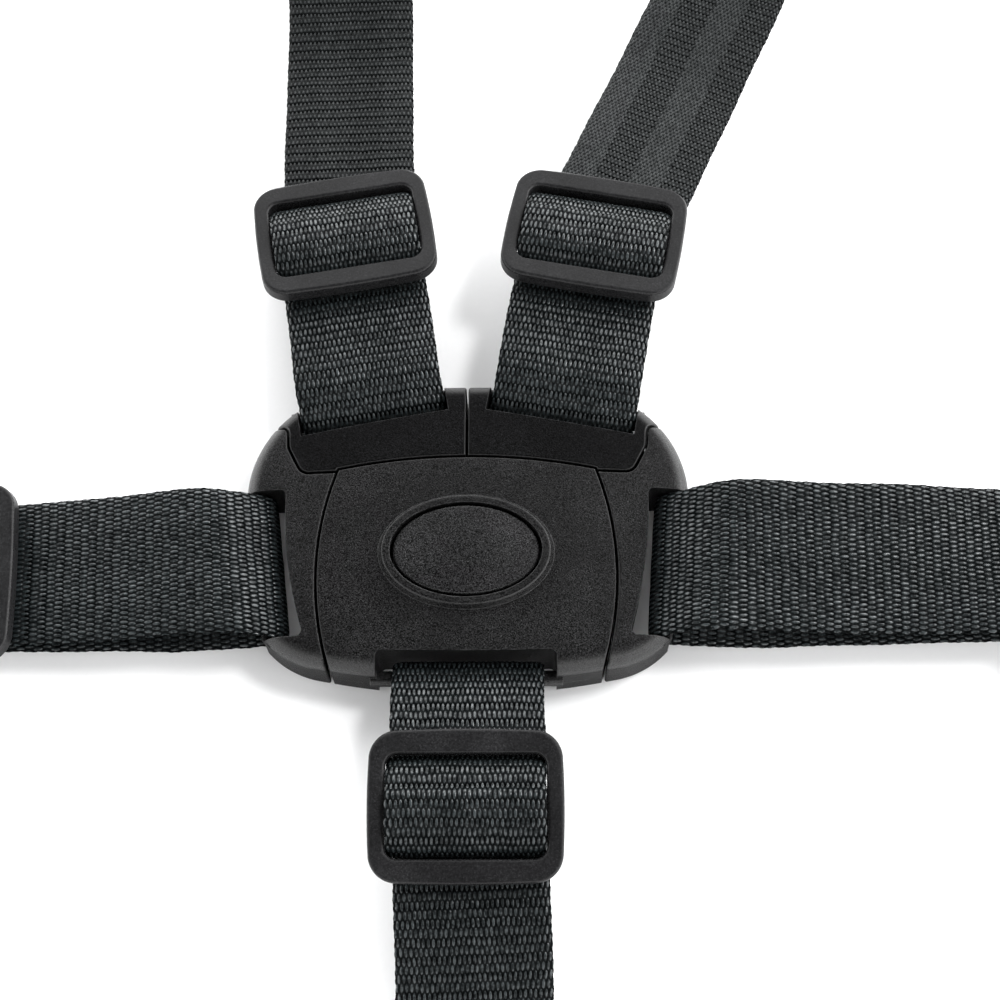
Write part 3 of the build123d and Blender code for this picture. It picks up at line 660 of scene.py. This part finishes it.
def make_webbing(strap_name, strap, seed):
    """One strap: its webbing, the roll over the adjuster's bar and the stitching of its anchor loop."""
    profile, run = evenly(strap_profile(strap), 0.36)
    place = plan_line(strap)
    x, y, heading = place(profile[:, 0])
    away = np.clip((profile[:, 0] - 4.0) / 8.0, 0, 1)
    x = x + strap["shift"][0] * away
    y = y + strap["shift"][1] * away
    points = np.column_stack([x, y, profile[:, 1]])
    across = np.column_stack([np.sin(heading), -np.cos(heading), np.zeros(len(x))])
    along = np.column_stack([np.cos(heading), np.sin(heading), np.zeros(len(x))])
    at_bar = 1 - np.clip((profile[:, 0] - 2.0) / (strap["crest_run"] + 3.0), 0, 1)
    at_bar = at_bar * at_bar * (3 - 2 * at_bar)
    across = across + along * (at_bar * math.tan(math.radians(strap["skew"])))[:, None]
    front_layer = run > run[np.argmin(profile[:, 0])]
    into = np.clip((profile[:, 0] - 1.0) / 13.0, 0, 1)
    out_of = 1 - np.clip((profile[:, 0] - strap["adjuster"] + 34.0) / 20.0, 0, 1)
    turned = into * into * (3 - 2 * into) * out_of * out_of * (3 - 2 * out_of) * front_layer
    across[:, 2] += turned * math.tan(math.radians(strap["twist"]))
    past = np.clip((profile[:, 0] - strap["adjuster"]) / 8.0, 0, 1)
    scale = 1 + (strap["tail_width"] - 1) * past
    web = ribbon(
        f"{strap_name}_webbing", points, across, run, seed, wobble=0.12, scale=scale,
        tail=TAILS[strap["tail"]], past=past > 0.5,
    )
    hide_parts(f"{strap_name}_strap")
    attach(web, f"{strap_name}_strap")

    heading = math.radians(strap["heading"])
    slope = math.radians(strap["slope"])
    east, north = math.cos(heading), math.sin(heading)
    out = np.array([east * math.cos(slope), north * math.cos(slope), math.sin(slope)])
    up = np.array([-east * math.sin(slope), -north * math.sin(slope), math.cos(slope)])
    across_line = np.array([math.sin(heading), -math.cos(heading), 0.0])
    origin = np.array([
        strap["bar"][0] + strap["adjuster"] * math.cos(heading),
        strap["bar"][1] + strap["adjuster"] * math.sin(heading), strap["height"],
    ])
    foot = WINDOW_LENGTH / 2 - 0.5
    bow = np.linspace(-1, 1, 61)
    bow = np.sign(bow) * (1 - (1 - np.abs(bow)) ** 1.6)
    crease = np.clip((bow * strap["crease"] - 0.24) / 0.12, 0, 1)
    crease = crease * crease * (3 - 2 * crease)
    full = (WRAP_CREST + 0.5 - WRAP_LIFT) * (1 - np.abs(bow) ** 2.6) ** 0.55
    hump, hump_run = evenly(np.column_stack([foot * bow, WRAP_LIFT + full * (1 - 0.17 * crease)]), 0.25)
    hump_points = origin + hump[:, :1] * out + hump[:, 1:] * up
    hump_across = np.repeat(across_line[None], len(hump), 0)
    wrap = ribbon(
        f"{strap_name}_roll", hump_points, hump_across, hump_run + 3.1 * seed, seed + 40, width=ROLL_WIDTH
    )
    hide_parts(f"{strap_name}_wrap")
    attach(wrap, f"{strap_name}_adjuster")

    tail = math.radians(strap["tail_heading"])
    places = []
    flap_top = WEB_THICK * 1.5 + LAYER_PITCH - WEB_THICK / 2
    direction = np.array([math.cos(tail), math.sin(tail), 0.0])
    sideways = np.array([math.sin(tail), -math.cos(tail), 0.0])
    for row in (-ANCHOR_FLAP + 3.0, -ANCHOR_FLAP + 6.5, -ANCHOR_FLAP / 2 - 2.2):
        px, py, _ = place(strap["end"] + row)
        for k in range(17):
            a = -10.4 + 1.3 * k
            zig = 0.45 * (-1) ** k
            centre = np.array([px, py, flap_top]) + sideways * a + direction * zig
            way = sideways * 1.2 + direction * 0.9 * (-1) ** (k + 1)
            places.append((centre, way / np.linalg.norm(way), np.array([0.0, 0.0, 1.0]), 1.5))
    tack = stitches(f"{strap_name}_stitching", places)
    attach(tack, f"{strap_name}_strap")


for number, (strap_name, strap) in enumerate(STRAPS.items()):
    make_webbing(strap_name, strap, 11 + number)


# ---------------------------------------------------------------- floor, light and camera

bpy.ops.mesh.primitive_plane_add(size=6.0, location=(0, 0, -0.00005))
floor = bpy.context.object
floor.name = "floor"
floor.data.materials.append(floor_material())

world = bpy.data.worlds.new("studio")
bpy.context.scene.world = world
world.use_nodes = True
sky = world.node_tree.nodes
links = world.node_tree.links
background = sky["Background"]
background.inputs["Color"].default_value = (1.0, 1.0, 1.0, 1.0)


def sky_math(operation, a, b):
    """Output of a math node in the world's tree, from numbers or sockets."""
    node = sky.new("ShaderNodeMath")
    node.operation = operation
    for value, socket in ((a, node.inputs[0]), (b, node.inputs[1])):
        if isinstance(value, float):
            socket.default_value = value
        else:
            links.new(value, socket)
    return node.outputs[0]


# Tent of soft light: dim straight above, bright at the sides, brighter to the right and behind.
split = sky.new("ShaderNodeSeparateXYZ")
links.new(sky.new("ShaderNodeTexCoord").outputs["Generated"], split.inputs[0])
side = sky.new("ShaderNodeMapRange")
side.interpolation_type = "SMOOTHSTEP"
links.new(split.outputs["Z"], side.inputs["Value"])
for key, value in (("From Min", 0.52), ("From Max", 0.93), ("To Min", 3.8), ("To Max", 0.14)):
    side.inputs[key].default_value = value
to_right = sky_math("MULTIPLY", split.outputs["X"], 0.25)
to_back = sky_math("MULTIPLY", split.outputs["Y"], 0.50)
lean = sky_math("ADD", to_right, to_back)
links.new(sky_math("MULTIPLY", side.outputs[0], sky_math("ADD", lean, 1.0)), background.inputs["Strength"])


def softbox(name, place, target, size, power):
    """Rectangular light aimed at a target, in metres and watts."""
    data = bpy.data.lights.new(name, "AREA")
    data.shape = "RECTANGLE"
    data.size = size[0]
    data.size_y = size[1]
    data.energy = power
    light = bpy.data.objects.new(name, data)
    light.location = place
    light.rotation_euler = (Vector(target) - Vector(place)).to_track_quat("-Z", "Y").to_euler()
    bpy.context.scene.collection.objects.link(light)


ORIGIN = (0.0, 0.0, 0.0)
softbox("key", (0.50, 0.22, 0.85), ORIGIN, (0.22, 0.22), 6.0)
softbox("back", (-0.15, 0.70, 0.75), ORIGIN, (0.50, 0.25), 2.5)

CAMERA_PLACE = Vector((0.0106, -0.1065, 0.3221))
CAMERA_TARGET = Vector((0.0056, 0.0064, 0.0120))

camera_data = bpy.data.cameras.new("camera")
camera_data.lens = 70.7
camera_data.sensor_width = 36.0
camera_data.clip_start = 0.01
camera_data.dof.use_dof = False
camera = bpy.data.objects.new("camera", camera_data)
camera.location = CAMERA_PLACE
backward = (CAMERA_PLACE - CAMERA_TARGET).normalized()
rightward = Vector((0.0, 1.0, 0.0)).cross(backward).normalized()
upward = backward.cross(rightward)
camera.rotation_euler = Matrix((rightward, upward, backward)).transposed().to_euler()
bpy.context.scene.collection.objects.link(camera)
bpy.context.scene.camera = camera

bpy.context.scene.view_settings.view_transform = "Standard"
bpy.context.scene.view_settings.look = "None"
bpy.context.scene.view_settings.exposure = 0.0
